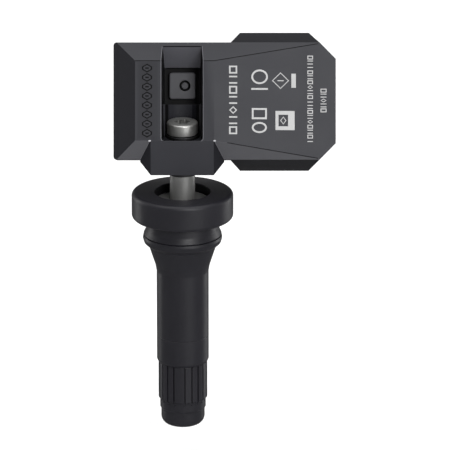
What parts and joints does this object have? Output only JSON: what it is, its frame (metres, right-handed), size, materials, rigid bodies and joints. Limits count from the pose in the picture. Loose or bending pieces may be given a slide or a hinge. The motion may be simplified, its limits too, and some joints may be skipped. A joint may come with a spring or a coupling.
{
  "type": "wheel-mounted tyre pressure sensor on a rubber snap-in valve stem",
  "caption": "Faceted plastic tyre pressure sensor housing with a tilted screw channel, clamped to a rubber snap-in valve stem with a flange, bulb, tapered body and ribbed cap.",
  "frame": {"origin": "on the stem's axis at the underside of the flange, where the stem seats against the inside of the rim", "axes": "+Z along the stem's axis from the cap to the sensor housing, -Y the side that the housing's front face turns to, +X along the housing's long side"},
  "size_m": [0.0442, 0.0268, 0.0791],
  "materials": {
    "housing_plastic": "moulded, fine satin texture",
    "cover_plastic": "moulded, matt",
    "pad_plastic": "moulded, satin",
    "stem_rubber": "smooth moulded rubber",
    "seal_rubber": "matt rubber",
    "cap_plastic": "moulded, satin",
    "screw_steel": "satin turned steel",
    "bush_steel": "dark treated steel",
    "stem_metal": "nickel-plated, satin",
    "core_brass": "turned brass",
    "spring_steel": "drawn wire",
    "board_laminate": "coated glass-fibre laminate",
    "cell_steel": "nickel-plated steel can",
    "tab_nickel": "nickel strip",
    "chip_black": "moulded epoxy",
    "ferrite": "sintered ferrite",
    "copper_wire": "enamelled copper",
    "ceramic_tan": "sintered ceramic"
  },
  "bodies": {
    "stem": {"rubber_stem": "stem_rubber", "stem_insert": "stem_metal", "valve_core_barrel": "core_brass", "valve_core_gasket": "seal_rubber", "valve_core_spring": "spring_steel"},
    "housing": {"housing_shell": "housing_plastic", "back_cover": "cover_plastic", "cover_seal": "seal_rubber", "circuit_board": "board_laminate", "battery_cell": "cell_steel", "battery_tab_positive": "tab_nickel", "battery_tab_negative": "tab_nickel", "pressure_sensor_chip": "chip_black", "port_seal_ring": "seal_rubber", "radio_chip": "chip_black", "quartz_crystal": "tab_nickel", "capacitor_1": "ceramic_tan", "capacitor_2": "ceramic_tan", "wake_coil_core": "ferrite", "wake_coil_winding": "copper_wire", "antenna_strip": "tab_nickel", "port_pad": "pad_plastic", "port_filter": "pad_plastic", "boss_bush": "bush_steel"},
    "core_pin": {"valve_core_pin": "core_brass", "valve_core_seal": "seal_rubber"},
    "cap_carrier": {"cap_seal": "seal_rubber"},
    "cap": {"valve_cap": "cap_plastic"},
    "screw_carrier": {"screw_washer": "bush_steel"},
    "screw": {"stem_screw": "screw_steel"}
  },
  "joints": [
    {"name": "housing_swivel", "type": "hinge", "parent": "stem", "child": "housing", "pos_m": [0, 0, 0.02428], "axis": [0, 0, 1], "continuous": true},
    {"name": "core_pin_press", "type": "slide", "parent": "stem", "child": "core_pin", "axis": [0, 0, 1], "range_m": [0, 0.0015], "stiffness_N_per_m": 300, "springref_m": -0.002, "deforming": ["valve_core_spring"]},
    {"name": "cap_travel", "type": "slide", "parent": "stem", "child": "cap_carrier", "axis": [0, 0, -1], "range_m": [0, 0.00714]},
    {"name": "cap_unscrew", "type": "hinge", "parent": "cap_carrier", "child": "cap", "pos_m": [0, 0, -0.0305], "axis": [0, 0, -1], "range_deg": [0, 3240]},
    {"name": "screw_travel", "type": "slide", "parent": "stem", "child": "screw_carrier", "axis": [0, 0, 1], "range_m": [0, 0.00539]},
    {"name": "screw_unscrew", "type": "hinge", "parent": "screw_carrier", "child": "screw", "pos_m": [0, 0, 0.02], "axis": [0, 0, 1], "range_deg": [0, 3240]}
  ],
  "couplings": [
    {"joint": "cap_unscrew", "follows": "cap_travel", "rad_per_m": 7913.3},
    {"joint": "screw_unscrew", "follows": "screw_travel", "rad_per_m": 10472}
  ]
}
